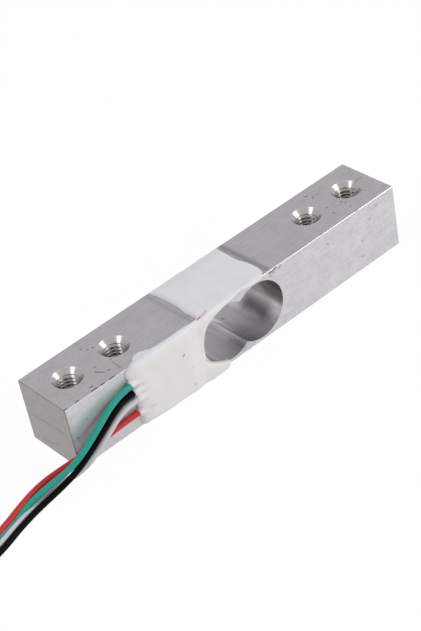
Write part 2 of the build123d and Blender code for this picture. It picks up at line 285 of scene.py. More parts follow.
def edge_breaks():
    """Twelve narrow strips along the edges and a small triangle at each corner."""
    made = []
    ends = [(left_end, along[0]), (right_end, along[-1])]
    sides = [(front, across[0]), (back, across[-1])]
    levels = [(underside, upward[0]), (top, upward[-1])]
    for y_out, y_in in sides:
        for z_out, z_in in levels:
            made.append(edge_strip(along, 0, (y_out, z_in), (y_in, z_out)))
    for x_out, x_in in ends:
        for z_out, z_in in levels:
            made.append(edge_strip(across, 1, (x_out, z_in), (x_in, z_out)))
        for y_out, y_in in sides:
            made.append(edge_strip(upward, 2, (x_out, y_in), (x_in, y_out)))
            for z_out, z_in in levels:
                corner = np.array([[x_out, y_in, z_in], [x_in, y_out, z_in], [x_in, y_in, z_out]])
                made.append((corner, np.array([[0, 1, 2]])))
    return made


def make_bar():
    """The whole bar: six faces, edge breaks, the bore's wall and the four threaded walls, welded into one."""
    top_parts, _ = level_face(top, mouth_radius)
    under_parts, angle = level_face(underside, under_mouth_radius)
    front_parts, _ = upright_face(front)
    back_parts, rim = upright_face(back)
    parts = top_parts + under_parts + front_parts + back_parts + edge_breaks()
    for x in (left_end, right_end):
        flat, faces = plate(across, upward)
        parts.append((on_plane(flat, 0, x), faces))
    depth = np.linspace(front, back, wall_rows)
    wall = np.stack([on_plane(rim, 1, y) for y in depth])
    parts.append((wall, grid_faces(len(depth), len(rim), close_columns=True)))
    parts += [thread_wall(center, angle) for center in hole_centers]
    bar = weld(make_piece("bar", parts))
    bar.data.shade_smooth()
    bar.data.set_sharp_from_angle(angle=np.radians(sharp_angle))
    return bar


bar = make_bar()
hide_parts("beam")
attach(bar, "root")

# %% [markdown]
# Each lead is one smooth cord. Its route points were chosen from the board's edge down to the table,
# and each lead lies a little differently. What a photograph of such a cell doesn't show is wound up: the four
# leads go round together as a bundle of four by four strands, and the bundle turns by a quarter each time
# round, so that each lead always finds a free place in it.

# %% The leads' routes in millimetres
lead_width = 1.1
lead_rest = table + lead_width / 2
lead_start_x = 7.4
lead_y = -7.05
routes = {
    "green": [
        (lead_start_x, lead_y, 9.8), (1.6, -7.0, 9.9), (-2.6, -7.5, 9.1), (-6.0, -8.1, 7.4),
        (-9.6, -8.5, 5.4), (-12.9, -8.5, 3.7), (-16.2, -7.8, 2.6), (-20.2, -6.9, 1.3),
        (-24.6, -7.1, lead_rest), (-30.0, -8.6, lead_rest), (-35.0, -9.6, lead_rest),
    ],
    "black": [
        (lead_start_x, lead_y, 8.2), (1.0, -7.0, 8.1), (-1.8, -7.4, 7.6), (-4.8, -7.9, 6.2),
        (-8.8, -8.5, 4.3), (-12.6, -8.9, 2.6), (-16.4, -8.5, 1.2), (-20.4, -8.2, 0.2),
        (-25.2, -9.2, lead_rest), (-30.0, -10.9, lead_rest), (-35.2, -11.9, lead_rest),
    ],
    "white": [
        (lead_start_x, lead_y, 6.4), (1.2, -7.0, 6.4), (-1.6, -7.3, 5.9), (-5.0, -7.9, 4.4),
        (-8.3, -8.3, 2.7), (-11.2, -7.9, 1.1), (-15.3, -6.7, 0.3), (-19.6, -6.9, lead_rest),
        (-25.0, -8.1, lead_rest), (-30.0, -9.8, lead_rest), (-35.0, -11.0, 0.6),
    ],
    "red": [
        (lead_start_x, lead_y, 3.6), (-0.3, -6.95, 3.7), (-4.6, -6.95, 3.4), (-9.6, -6.9, 2.8),
        (-13.6, -6.0, 2.2), (-17.6, -5.4, 1.6), (-22.0, -6.1, 1.2), (-26.7, -7.4, 0.6),
        (-31.0, -8.4, 0.5), (-35.0, -9.4, 0.9),
    ],
}

# %% The coil and the leads' ends
coil_center = np.array([-41.5, -4.5])
coil_radius = 6.2
coil_rim = 9.2
coil_turns = 3.4
coil_points_per_turn = 16
strand_pitch = 1.15
bundle_half = 1.5
coil_cells = {"green": (0.5, -1.5), "red": (0.5, -0.5), "black": (1.5, -1.5), "white": (1.5, -0.5)}
tip_places = {"green": (47, 20), "black": (38, 7), "white": (29, -6), "red": (20, -19)}
tip_run = np.array([-3.0, -1.2, 0.1])
entry_angle = np.radians(-84)


def coil_points(color):
    """Points of the wound bundle: a circle, clockwise from above, plus the strand's cell turned by a quarter
    of the angle gone round; the bundle's middle stands so high that its lowest strand rests on the table."""
    count = int(coil_turns * coil_points_per_turn)
    gone = np.linspace(0, coil_turns * 2 * np.pi, count)
    quarter = gone / 4
    cell = complex(*coil_cells[color]) * strand_pitch * np.exp(-1j * quarter)
    lift = bundle_half * strand_pitch * (np.abs(np.cos(quarter)) + np.abs(np.sin(quarter)))
    radius = coil_radius + cell.real
    z = lead_rest + lift + cell.imag
    place = entry_angle - gone
    x = coil_center[0] + radius * np.cos(place)
    y = coil_center[1] + radius * np.sin(place)
    return np.stack([x, y, z], axis=1)


def tip_ray(color):
    """Where a bare tip leaves the coil's rim, and its heading."""
    place, heading = np.radians(tip_places[color])
    foot = np.array([*(coil_center + coil_rim * np.array([np.cos(place), np.sin(place)])), lead_rest])
    return foot, np.array([np.cos(heading), np.sin(heading), 0.0])


def lead_points(color):
    """The whole lead: its listed route, its turns in the coil and a short run out to its bare tip."""
    foot, way = tip_ray(color)
    return np.concatenate([np.array(routes[color]), coil_points(color), foot + tip_run[:, None] * way])


def polyline_length(points):
    """The sum of the distances from point to point."""
    return float(np.linalg.norm(np.diff(points, axis=0), axis=1).sum())


for color in routes:
    route = lead_points(color)
    print(color, "points", len(route), "runs", round(polyline_length(route)), "mm in all")

# %% The four leads as smooth cords
def make_cord(name, points, width):
    """A round cord along one open NURBS spline of order 3; its points' radius is half the cord's width."""
    curve = bpy.data.curves.new(name, "CURVE")
    curve.dimensions = "3D"
    curve.bevel_depth = 1.0
    curve.bevel_resolution = 5
    curve.resolution_u = 4
    curve.use_fill_caps = True
    spline = curve.splines.new("NURBS")
    spline.points.add(len(points) - 1)
    flat = np.concatenate([points * MM, np.ones((len(points), 1))], axis=1)
    spline.points.foreach_set("co", flat.ravel())
    spline.points.foreach_set("radius", np.full(len(points), width / 2 * MM))
    spline.order_u = 3
    spline.use_endpoint_u = True
    return add_object(name, curve)


def spline_length(piece):
    """The length of a cord's own line, measured on a copy with no bevel."""
    bare = piece.copy()
    bare.data = piece.data.copy()
    bare.data.bevel_depth = 0
    bpy.context.scene.collection.objects.link(bare)
    line = finished_mesh(bare)
    length = polyline_length(mesh_points(line))
    bpy.data.objects.remove(bare)
    bpy.data.meshes.remove(line)
    return length


leads = {}
for color in routes:
    lead = make_cord(f"lead_{color}_insulation", lead_points(color), lead_width)
    length = spline_length(lead)
    print(color, "lead", round(length / MM, 1), "mm long")
    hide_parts(f"lead_{color}", "leads_coil")
    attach(lead, "root")
    leads[color] = lead

# %% [markdown]
# The camera stands where the picture of the real cell was taken from: in front, to the left and above. Its
# three axes were fitted to the bar's corners, so they are given as angles of azimuth, elevation and roll.

# %% Camera
azimuth, elevation, roll = np.radians([-34.9344, 37.3839, -11.5696])
eye = Vector((-114.5, -200.3, 192.7)) * MM
focal_pixels = 1774.27
picture_height = 631
sensor = 36.0


def camera_axes():
    """The camera's right, up and back directions from azimuth, elevation and roll."""
    back_way = np.array([
        np.sin(azimuth) * np.cos(elevation), -np.cos(azimuth) * np.cos(elevation), np.sin(elevation)
    ])
    right_way = np.array([np.cos(azimuth), np.sin(azimuth), 0.0])
    up_way = np.cross(back_way, right_way)
    turned_right = right_way * np.cos(roll) + up_way * np.sin(roll)
    turned_up = up_way * np.cos(roll) - right_way * np.sin(roll)
    return turned_right, turned_up, back_way


lens = bpy.data.cameras.new("camera")
lens.sensor_width = sensor
lens.sensor_fit = "AUTO"
lens.lens = focal_pixels * sensor / picture_height
lens.clip_start = 0.01
camera = add_object("camera", lens)
turn = Matrix([list(axis) for axis in camera_axes()]).transposed().to_4x4()
camera.matrix_world = Matrix.Translation(eye) @ turn
bpy.context.scene.camera = camera
print("lens", round(lens.lens, 1), "mm")

# %% [markdown]
# The silicone was squeezed on in dabs that ran together: over the top gauges and the front edge, down the
# front over the terminal board, and under the bar. Sculpting could shape it, but curves are easier to mend.
# Each dab is a sheet between wavy borders along a line v that unrolls the bar's skin: v is 0 at the top front
# edge, grows over the top, and falls down the front and round under the bar. The thickness rises from the
# borders like the edge of a drop. A fine remesh then melts the dabs into one skin.

# %% The bar's skin unrolled
corner_ease = 0.7
seat = 0.18
crowding = 0.14


def unrolled(v):
    """The point (y, z) on the bar's skin for v, and the angle of its outward normal, eased at the corners."""
    y = np.where(v > 0, front + v, front)
    y = np.where(v < -side, front - (v + side), y)
    z = np.clip(top + np.minimum(v, 0), underside, top)
    upper = np.clip((v + corner_ease) / (2 * corner_ease), 0, 1)
    lower = np.clip((-side + corner_ease - v) / (2 * corner_ease), 0, 1)
    ease = lambda s: s * s * (3 - 2 * s)
    angle = np.pi + np.pi / 2 * (ease(lower) - ease(upper))
    return y, z, angle


def curve_through(stops, values, at):
    """A smooth curve through a few values: between two stops it is the cubic that has their values and their
    slopes, where a stop's slope comes from its neighbours on both sides."""
    stops = np.asarray(stops, float)
    values = np.asarray(values, float)
    slopes = np.gradient(values, stops)
    k = np.clip(np.searchsorted(stops, at) - 1, 0, len(stops) - 2)
    span = stops[k + 1] - stops[k]
    s = np.clip((at - stops[k]) / span, 0, 1)
    a = 2 * s ** 3 - 3 * s ** 2 + 1
    b = s ** 3 - 2 * s ** 2 + s
    c = -2 * s ** 3 + 3 * s ** 2
    d = s ** 3 - s ** 2
    return a * values[k] + b * span * slopes[k] + c * values[k + 1] + d * span * slopes[k + 1]


def dab(left_curve, right_curve, low_curve, v_high, thick, edge, cross_steps=90, step=0.16):
    """A closed sheet: x runs between the side borders and v from the low border up. The side borders are read
    at even steps from the lowest point up. The thickness is thick times sqrt(1 - (1 - share)^2), where
    share grows from 0 at a border to 1 at that border's edge width; edge gives the four widths, left, right,
    low and high."""
    lowest = low_curve(np.linspace(0, middle, 50)).min()
    t = np.linspace(0, 1, max(8, int((v_high - lowest) / step)))
    even = lowest + (v_high - lowest) * t
    left = left_curve(even)[:, None]
    right = right_curve(even)[:, None]
    s = np.linspace(0, 1, cross_steps)[None, :]
    s = s - crowding * np.sin(2 * np.pi * s) / 2
    x = left + (right - left) * s
    low = low_curve(x)
    v = low + (v_high - low) * t[:, None]
    from_left, from_right, from_low, from_high = edge
    share = np.minimum.reduce([
        (x - left) / from_left, (right - x) / from_right, (v - low) / from_low, (v_high - v) / from_high
    ])
    share = np.clip(share, 0, 1)
    drop = np.sqrt(np.clip(1 - (1 - share) ** 2, 0, 1))
    height = thick(x, v) * drop
    y, z, angle = unrolled(v)
    ny = np.cos(angle)
    nz = np.sin(angle)
    outer = np.stack([x, y + height * ny, z + height * nz], axis=-1)
    inner = np.stack([x, y - seat * ny, z - seat * nz], axis=-1)
    rows, columns = x.shape
    count = rows * columns
    border = np.concatenate([
        np.arange(columns),
        np.arange(1, rows) * columns + columns - 1,
        (rows - 1) * columns + np.arange(columns - 2, -1, -1),
        np.arange(rows - 2, 0, -1) * columns,
    ])
    following = np.roll(border, -1)
    rim = np.stack([border, following, following + count, border + count], axis=1)
    sheet = grid_faces(rows, columns)
    return np.stack([outer, inner]).reshape(-1, 3), np.concatenate([sheet, sheet[:, ::-1] + count, rim])


# %% Borders of the dabs, each as stops and values along v or x
top_stops = [-0.3, 0.5, 1.7, 3.2, 4.7, 6.7, 8.7, 10.7, 12.7]
top_left = [18.2, 18.3, 18.2, 18.1, 18.3, 18.4, 18.4, 18.2, 17.8]
top_right_stops = [-2.6, -1.8, -0.7, 0.9, 2.2, 4.0, 6.2, 9.2, 11.9, 12.7]
top_right = [32.6, 33.75, 34.15, 34.28, 34.22, 33.95, 33.6, 33.65, 33.8, 33.9]
lip_stops = [17.8, 19.5, 21.5, 23.4, 25.4, 27.4, 29.8, 31.5, 34.6]
lip_low = [-2.6, -2.2, -1.25, -0.75, -0.5, -0.17, -0.42, -0.5, 0.1]
side_stops = [-13.0, -11.3, -9.4, -8.4, -7.5, -6.6, -4.9, -3.2, -2.0, -0.2, 0.4]
side_left = [2.9, 2.8, 3.1, 2.6, 2.85, 3.3, 3.0, 2.7, 1.9, 2.5, 3.4]
bore_stops = [-13.1, -12.0, -11.0, -9.9, -9.1, -7.0, -4.5, -2.7, -1.4, -0.7, -0.3, 0.4]
bore_right = [22.2, 23.1, 21.35, 19.5, 18.5, 18.25, 18.5, 19.2, 20.3, 21.4, 22.8, 23.4]
foot_stops = [0.0, 2.0, 8.0, 14.0, 16.5, 19.0, 23.5, 26.0]
foot_low = [-12.2, -12.3, -12.6, -12.7, -12.9, -13.2, -13.1, -12.9]
lap_stops = [-1.5, 0.0, 0.7, 1.3, 1.7]
lap_left = [3.6, 3.8, 4.2, 4.8, 5.4]
lap_right_stops = [-1.5, 0.0, 0.5, 1.0, 1.7]
lap_right = [18.0, 18.3, 9.4, 7.6, 6.6]
print("stops along the bore's border:", len(bore_stops))

# %% Thickness of the dabs
top_thick = 0.57
side_thick = 1.36
lap_thick = 0.34
back_edge = 12.7
back_fade_width = 2.6
thin_from = 20.5
thin_over = 6
thinnest = 0.55


def lumps(x, v, size, amount, seed):
    """One plus a sum of four waves, each a sine along x times a sine along v, so that nothing is even."""
    total = 0
    for wave_x, shift_x, wave_v, shift_v in np.random.default_rng(seed).uniform(0.5, 1.5, (4, 4)):
        total = total + np.sin(wave_x * x / size + 7 * shift_x) * np.sin(wave_v * v / size + 9 * shift_v)
    return 1 + amount * total / 2


def top_thickness(x, v):
    """Even but for its lumps, and thin at the back edge."""
    back_fade = np.clip((back_edge - v) / back_fade_width, 0.1, 1)
    return top_thick * lumps(x, v, 2.6, 0.05, 3) * np.sqrt(back_fade)


def side_thickness(x, v):
    """Over the board and the leads' ends, thinner towards the bore."""
    toward_bore = np.clip((thin_from - x) / thin_over, thinnest, 1)
    return side_thick * lumps(x, v, 2.4, 0.05, 5) * toward_bore


def lap_thickness(x, v):
    """The thin lap on the top face."""
    return lap_thick * lumps(x, v, 1.2, 0.15, 8)


def under_thickness(x, v):
    """Flat: the part was set down before the silicone had cured."""
    return np.full_like(x, -table)


# %% The four dabs
def level(value):
    """A straight border."""
    return lambda v: np.full_like(v, value)


def border(stops, values):
    """A border as a function of the place along it."""
    return lambda at: curve_through(stops, values, at)


dabs = [
    dab(
        border(top_stops, top_left), border(top_right_stops, top_right), border(lip_stops, lip_low),
        12.6, top_thickness, (1.0, 1.0, 0.5, 1.0),
    ),
    dab(
        border(side_stops, side_left), border(bore_stops, bore_right), border(foot_stops, foot_low),
        0.4, side_thickness, (2.4, 0.8, 1.3, 1.2),
    ),
    dab(
        border(lap_stops, lap_left), border(lap_right_stops, lap_right), level(-1.5),
        1.7, lap_thickness, (0.6, 0.45, 0.45, 0.6),
    ),
    dab(
        level(17.7), level(34.0), level(-2 * side + 0.3),
        -side - 0.25, under_thickness, (0.7, 0.7, 0.7, 0.7),
    ),
]
print("dabs:", len(dabs))

# %% A collar where the silicone crept along each lead
collar_radius = 0.74
collar_ends = {"green": 1.9, "black": 2.2, "white": 2.5, "red": 2.3}
collar_reach = 4.5
collar_growth = 0.9
collar_rows = 24
collar_sides = 24
skin = 0.02


def collar(color):
    """A closed tube round a lead's first stretch: the radius grows as a quarter circle from its left end."""
    route = np.array(routes[color])[::-1]
    x = np.linspace(collar_ends[color], collar_ends[color] + collar_reach, collar_rows)
    y, z = (np.interp(x, route[:, 0], route[:, k]) for k in (1, 2))
    grown = np.clip((x - x[0]) / collar_growth, 0, 1)
    radius = lead_width / 2 + skin + (collar_radius - lead_width / 2) * np.sqrt(1 - (1 - grown) ** 2)
    turn = np.linspace(0, 2 * np.pi, collar_sides, endpoint=False)
    points = np.stack([
        np.broadcast_to(x[:, None], (collar_rows, collar_sides)),
        y[:, None] + radius[:, None] * np.cos(turn),
        z[:, None] + radius[:, None] * np.sin(turn),
    ], axis=-1).reshape(-1, 3)
    middles = np.stack([x, y, z], axis=1)[[0, -1]]
    around = np.arange(collar_sides)
    faces = [grid_faces(collar_rows, collar_sides, close_columns=True)]
    for k, row in enumerate((0, collar_rows - 1)):
        start = row * collar_sides
        center = np.full(collar_sides, len(points) + k)
        faces.append(np.stack([start + around, start + (around + 1) % collar_sides, center], axis=1))
    return np.concatenate([points, middles]), faces


silicone = make_piece("silicone", dabs + [collar(color) for color in routes])
print("dabs and collars", len(silicone.data.polygons), "faces")

# %% Melt the dabs into one skin
voxel = 0.15
clearance = 0.01
lowest = table + clearance
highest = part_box("sealant_top")[1].z / MM - clearance


def melt(piece):
    """Remesh the overlapping sheets at a fixed grid, smooth the joints, keep the result as the mesh and press
    it flat where it meets the table."""
    weld(piece)
    remesh = piece.modifiers.new("melt", "REMESH")
    remesh.mode = "VOXEL"
    remesh.voxel_size = voxel * MM
    soften = piece.modifiers.new("soften", "SMOOTH")
    soften.factor = 0.5
    soften.iterations = 5
    made = finished_mesh(piece)
    piece.modifiers.clear()
    piece.data = made
    points = mesh_points(made)
    points[:, 2] = np.clip(points[:, 2], lowest * MM, highest * MM)
    made.vertices.foreach_set("co", points.ravel())
    made.update()
    made.shade_smooth()
    print(piece.name, len(made.polygons), "faces after melting")


melt(silicone)
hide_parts("sealant_top", "sealant_side", "sealant_underside")
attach(silicone, "root")

# %% [markdown]
# A finish is a small network of nodes. These helpers keep each one short to read: one adds a node and sets
# its inputs, two give the result of an operation on numbers or on vectors, one adds noise, and one starts a
# material with a Principled shader.

# %% Helpers for materials
def node(tree, kind, inputs=None, **settings):
    """Add a node, set its settings, and set or link each input given by name or number."""
    made = tree.nodes.new(kind)
    for key, value in settings.items():
        setattr(made, key, value)
    for key, value in (inputs or {}).items():
        if isinstance(value, bpy.types.NodeSocket):
            tree.links.new(value, made.inputs[key])
        else:
            made.inputs[key].default_value = value
    return made


def number(tree, operation, *values, **settings):
    """The result of one operation on numbers."""
    return node(tree, "ShaderNodeMath", dict(enumerate(values)), operation=operation, **settings).outputs[0]


def vector(tree, operation, *values):
    """The result of one operation on vectors: a number for a dot product or a length, or else a vector."""
    made = node(tree, "ShaderNodeVectorMath", dict(enumerate(values)), operation=operation)
    return made.outputs["Value" if operation in ("DOT_PRODUCT", "LENGTH") else "Vector"]


def noise(tree, place, scale, detail):
    """Soft noise from 0 to 1; a larger scale makes it finer, and more detail makes it rougher."""
    values = {"Vector": place, "Scale": scale, "Detail": detail}
    return node(tree, "ShaderNodeTexNoise", values).outputs["Fac"]


def material(name, **sockets):
    """A material with a Principled shader whose constant sockets are set here."""
    made = bpy.data.materials.new(name)
    made.use_nodes = True
    shader = made.node_tree.nodes["Principled BSDF"]
    for key, value in sockets.items():
        shader.inputs[key.replace("_", " ")].default_value = value
    return made, made.node_tree, shader


def give(piece, made):
    """Put one material on a piece, in every slot that it has."""
    if piece.data.materials:
        for i in range(len(piece.data.materials)):
            piece.data.materials[i] = made
    else:
        piece.data.materials.append(made)


# %% [markdown]
# Two effects come back in several finishes: a short dark mark, for nicks, specks, scratches and patches of
# painted shade, and a cloud that keeps any colour from being flat. Each is a node group, built once and
# placed with its own values.

# %% Effects shared by several materials, as node groups
def group(name, inputs, outputs):
    """An empty node group with its sockets, each given as name and kind, and its two end nodes."""
    tree = bpy.data.node_groups.new(name, "ShaderNodeTree")
    for label, kind in inputs.items():
        tree.interface.new_socket(label, in_out="INPUT", socket_type="NodeSocket" + kind)
    for label, kind in outputs.items():
        tree.interface.new_socket(label, in_out="OUTPUT", socket_type="NodeSocket" + kind)
    return tree, tree.nodes.new("NodeGroupInput").outputs, tree.nodes.new("NodeGroupOutput").inputs


def mark_group():
    """Mask of a short line: 1 - smooth(distance to the segment / width), where the nearest point is
    start + span * clamp(dot(place - start, span) / dot(span, span))."""
    tree, given, result = group(
        "mark", {"Place": "Vector", "Start": "Vector", "End": "Vector", "Width": "Float"}, {"Mask": "Float"}
    )
    span = vector(tree, "SUBTRACT", given["End"], given["Start"])
    away = vector(tree, "SUBTRACT", given["Place"], given["Start"])
    over = vector(tree, "DOT_PRODUCT", away, span)
    share = number(tree, "DIVIDE", over, vector(tree, "DOT_PRODUCT", span, span), use_clamp=True)
    step = node(tree, "ShaderNodeVectorMath", {0: span, "Scale": share}, operation="SCALE").outputs[0]
    far = vector(tree, "LENGTH", vector(tree, "SUBTRACT", away, step))
    mask = node(
        tree, "ShaderNodeMapRange",
        {"Value": far, "From Min": 0.0, "From Max": given["Width"], "To Min": 1.0, "To Max": 0.0},
        interpolation_type="SMOOTHSTEP",
    )
    tree.links.new(mask.outputs["Result"], result["Mask"])
    return tree


def cloud_group():
    """A colour between two colours by a fine noise, and the noise itself."""
    tree, given, result = group(
        "cloud", {"Place": "Vector", "Scale": "Float", "Dark": "Color", "Light": "Color"},
        {"Color": "Color", "Height": "Float"},
    )
    height = noise(tree, given["Place"], given["Scale"], 3.0)
    tint = node(tree, "ShaderNodeMix", {0: height, 6: given["Dark"], 7: given["Light"]}, data_type="RGBA")
    tree.links.new(tint.outputs[2], result["Color"])
    tree.links.new(height, result["Height"])
    return tree


mark_effect = mark_group()
cloud_effect = cloud_group()
print("effects:", mark_effect.name, cloud_effect.name)

# %% Placing the effects and blending colours
def object_place(tree):
    """The point being shaded, on the piece's own coordinates."""
    return node(tree, "ShaderNodeTexCoord").outputs["Object"]


def cloud(tree, place, scale, dark, light):
    """One cloud between two colours."""
    return node(tree, "ShaderNodeGroup", node_tree=cloud_effect, inputs={
        "Place": place, "Scale": scale, "Dark": dark, "Light": light
    })


def marks(tree, place, lines):
    """The strongest of several marks, each given as start, end, width and strength in millimetres."""
    total = None
    for start, end, width, strength in lines:
        one = node(tree, "ShaderNodeGroup", node_tree=mark_effect, inputs={
            "Place": place,
            "Start": tuple(value * MM for value in start),
            "End": tuple(value * MM for value in end),
            "Width": width * MM,
        })
        scaled = number(tree, "MULTIPLY", one.outputs["Mask"], strength)
        total = scaled if total is None else number(tree, "MAXIMUM", total, scaled)
    return total


def step_mask(tree, value, low, high, ends=(0.0, 1.0)):
    """A value that runs between two ends while the input runs from low to high."""
    return node(
        tree, "ShaderNodeMapRange",
        {"Value": value, "From Min": low, "From Max": high, "To Min": ends[0], "To Max": ends[1]},
    ).outputs["Result"]


def mixed(tree, share, one, two):
    """The number one where the share is 0 and two where it is 1."""
    return node(tree, "ShaderNodeMix", {0: share, 2: one, 3: two}).outputs[0]


def blend(tree, mask, one, two):
    """The colour one where the mask is 0 and two where it is 1."""
    return node(tree, "ShaderNodeMix", {0: mask, 6: one, 7: two}, data_type="RGBA").outputs[2]


def tinted(tree, mask, color, tone):
    """The colour times a tone where the mask is 1."""
    return node(
        tree, "ShaderNodeMix", {0: mask, 6: color, 7: tone}, data_type="RGBA", blend_type="MULTIPLY"
    ).outputs[2]


# %% [markdown]
# The bar is milled aluminium that has been handled. A painted texture would need an unwrapped skin. Here
# noise makes the grain, and masks worked out from where the surface lies and which way it faces give each
# region its tone: a darker top and darker ends as painted shade, bright holes, threads painted darker deeper
# down as painted shade, worn edges, and edges of the ends painted dark as painted shade. Nicks, specks and
# scratches are short marks set down one by one, and so are patches of painted shade in the bore and painted
# shadow beside the silicone.
# region its tone: darker top and ends, bright holes, oily threads, worn edges. Nicks, specks and scratches
# are short marks set down one by one.

# %% Marks on the bar, each a start, an end, a width and a strength
nick_y = front + 0.3
nicks = [(-0.4, 0.5), (-2.4, 0.35), (-4.1, 0.6), (-7.7, 0.3), (-10.2, 0.3)]
top_specks = [
    (2.4, -2.2), (-0.5, -1.6), (0.9, 3.9), (1.6, 3.0), (2.5, 2.7), (0.5, -4.1), (54.4, 4.3), (54.6, 3.0),
    (55.9, 3.1), (53.5, -3.4), (56.7, -2.1), (57.0, -2.8), (56.7, -4.4), (54.7, 3.2), (61.3, -2.6),
    (56.3, -6.1), (47.5, -6.1), (54.0, 4.5), (56.4, -6.2), (53.9, -1.2),
]
front_specks = [
    (48.5, 10.2), (56.6, 6.0), (59.0, 9.4), (60.9, 11.3), (56.2, 2.8), (34.8, 11.6), (35.6, 11.9),
    (36.9, 12.1), (37.2, 12.4), (-7.2, 8.6), (-9.6, 6.2),
]
scratches = [
    ((-4.1, -5.0, top), (-3.8, -5.1, top), 0.3, 0.7),
    ((-1.2, -2.7, top), (-0.3, -3.9, top), 0.22, 0.75),
    ((2.3, -2.9, top), (2.1, -5.1, top), 0.18, 0.5),
    ((62.7, 0.3, top), (64.4, 0.4, top), 0.3, 0.4),
    ((34.8, front, 12.2), (36.4, front, 12.5), 0.34, 0.85),
    ((left_end, 4.9, 6.1), (left_end, -3.9, 6.8), 0.5, 0.22),
    ((left_end, 3.1, 1.4), (left_end, -1.2, 2.5), 0.6, 0.18),
]
# Painted shade: a dark patch on the bore's far wall, a band under the ridge between its lobes, and painted
# shadow in a band beside the silicone's right border on the top; also a small dark spot low in the bore and a
# faint dark band beside the silicone's left border on the top.
painted_shade_and_spots = [
    ((34.9, -2.5, 2.0), (35.0, 1.3, 2.15), 3.6, 0.85),
    ((26.6, -6.3, 1.4), (26.6, 6.3, 1.4), 1.5, 0.4),
    ((29.9, 3.1, 0.8), (30.1, 3.1, 0.8), 0.5, 0.6),
    ((34.9, -5.6, top), (34.6, 6.2, top), 1.1, 0.42),
    ((17.4, -6.0, top), (17.2, 6.2, top), 0.9, 0.18),
]
bar_marks = [((x - reach, nick_y, top), (x + reach, nick_y, top), 0.26, 0.85) for x, reach in nicks]
bar_marks += [((x, y, top), (x + 0.15, y, top), 0.3, 0.6) for x, y in top_specks]
bar_marks += [((x, front, z), (x + 0.3, front, z - 0.15), 0.34, 0.35) for x, z in front_specks]
bar_marks += scratches + painted_shade_and_spots
print("marks on the bar:", len(bar_marks))

# %% Where the surface of the bar lies and which way it faces
facing = (0.9, 0.95)
slanting = (0.5, 0.65)
bore_span = (9.4, 9.6)
# Painted shade: the depths below the top over which the thread is painted darker.
painted_shade_depths = (4.5, 1.2)
fade_out = (1.0, 0.0)


def hole_distance(tree, apart):
    """Distance from the nearest hole's axis. X is folded at the bar's middle, then at the middle of a pair of
    holes, and then at a hole, which brings all four axes to X = 0."""
    value = apart.outputs["X"]
    pair = (hole_centers[2] + hole_centers[3]) / 2
    for fold in (middle, pair - middle, hole_reach):
        value = number(tree, "ABSOLUTE", number(tree, "SUBTRACT", value, fold * MM))
    flat = node(tree, "ShaderNodeCombineXYZ", {"X": value, "Y": apart.outputs["Y"]})
    return vector(tree, "LENGTH", flat.outputs[0])


def face_masks(tree):
    """Whether the surface faces along X, Y or Z, lies on a long broken edge, or on an edge of an end: one
    part of the normal is near 1 on a face, and the smaller of two is over a half on the edge between them."""
    normal = vector(tree, "ABSOLUTE", node(tree, "ShaderNodeTexCoord").outputs["Normal"])
    parts = node(tree, "ShaderNodeSeparateXYZ", {"Vector": normal}).outputs
    faces = [step_mask(tree, parts[axis], *facing) for axis in "XYZ"]
    long_edge = number(tree, "MINIMUM", parts["Y"], parts["Z"])
    end_edge = number(tree, "MINIMUM", parts["X"], number(tree, "MAXIMUM", parts["Y"], parts["Z"]))
    return faces, step_mask(tree, long_edge, *slanting), step_mask(tree, end_edge, *slanting)


def bar_regions(tree, place, faces, long_edge, end_edge):
    """Masks of a hole's wall, its thread, the thread's depth that is painted darker as painted shade, the
    double bore's wall, the worn long edges and the edges of the ends, which are painted dark as painted
    shade."""
    apart = node(tree, "ShaderNodeSeparateXYZ", {"Vector": place})
    radial = hole_distance(tree, apart)
    span = number(tree, "ABSOLUTE", number(tree, "SUBTRACT", apart.outputs["X"], middle * MM))
    near_middle = step_mask(tree, span, bore_span[0] * MM, bore_span[1] * MM, fade_out)
    reach = middle - left_end
    at_end = step_mask(tree, span, (reach - 0.3) * MM, (reach - 0.2) * MM)
    hole = step_mask(tree, radial, (mouth_radius - 0.05) * MM, mouth_radius * MM, fade_out)
    thread = step_mask(tree, radial, (major_radius - 0.1) * MM, (major_radius + 0.1) * MM, fade_out)
    low, high = ((top - depth) * MM for depth in painted_shade_depths)
    deep = step_mask(tree, apart.outputs["Z"], low, high, (0.75, 0.0))
    not_flat = number(tree, "SUBTRACT", 1.0, number(tree, "MAXIMUM", faces[1], faces[2]))
    away = number(tree, "SUBTRACT", 1.0, number(tree, "MAXIMUM", near_middle, hole))
    return {
        "hole": hole,
        "thread": thread,
        # Painted shade: the thread painted darker deeper down.
        "deep_painted_shade": number(tree, "MULTIPLY", thread, deep),
        "bore": number(tree, "MULTIPLY", near_middle, not_flat),
        "worn": number(tree, "MULTIPLY", long_edge, away),
        # Painted shade: the edges of the ends painted dark.
        "painted_shade_end_edges": number(tree, "MULTIPLY", at_end, end_edge),
    }


# %% Aluminium
def metal_grain(tree, place):
    """Fine grain, blotches and streaks drawn out along the bar, mixed into one noise; and the blotches."""
    grain = noise(tree, place, 2600.0, 4.0)
    blotch = noise(tree, place, 420.0, 5.0)
    drawn = node(tree, "ShaderNodeMapping", {"Vector": place, "Scale": (0.07, 1.0, 1.0)})
    streak = noise(tree, drawn.outputs[0], 2200.0, 2.0)
    return mixed(tree, 0.3, mixed(tree, 0.45, grain, blotch), streak), blotch


def grain_color(tree, shade):
    """Two close greys, darker where the grain's noise is low."""
    ramp = node(tree, "ShaderNodeValToRGB", {"Fac": shade})
    ends = ramp.color_ramp.elements
    ends[0].position, ends[1].position = 0.3, 0.7
    ends[0].color = (0.52, 0.51, 0.525, 1)
    ends[1].color = (0.76, 0.74, 0.765, 1)
    return ramp.outputs["Color"]


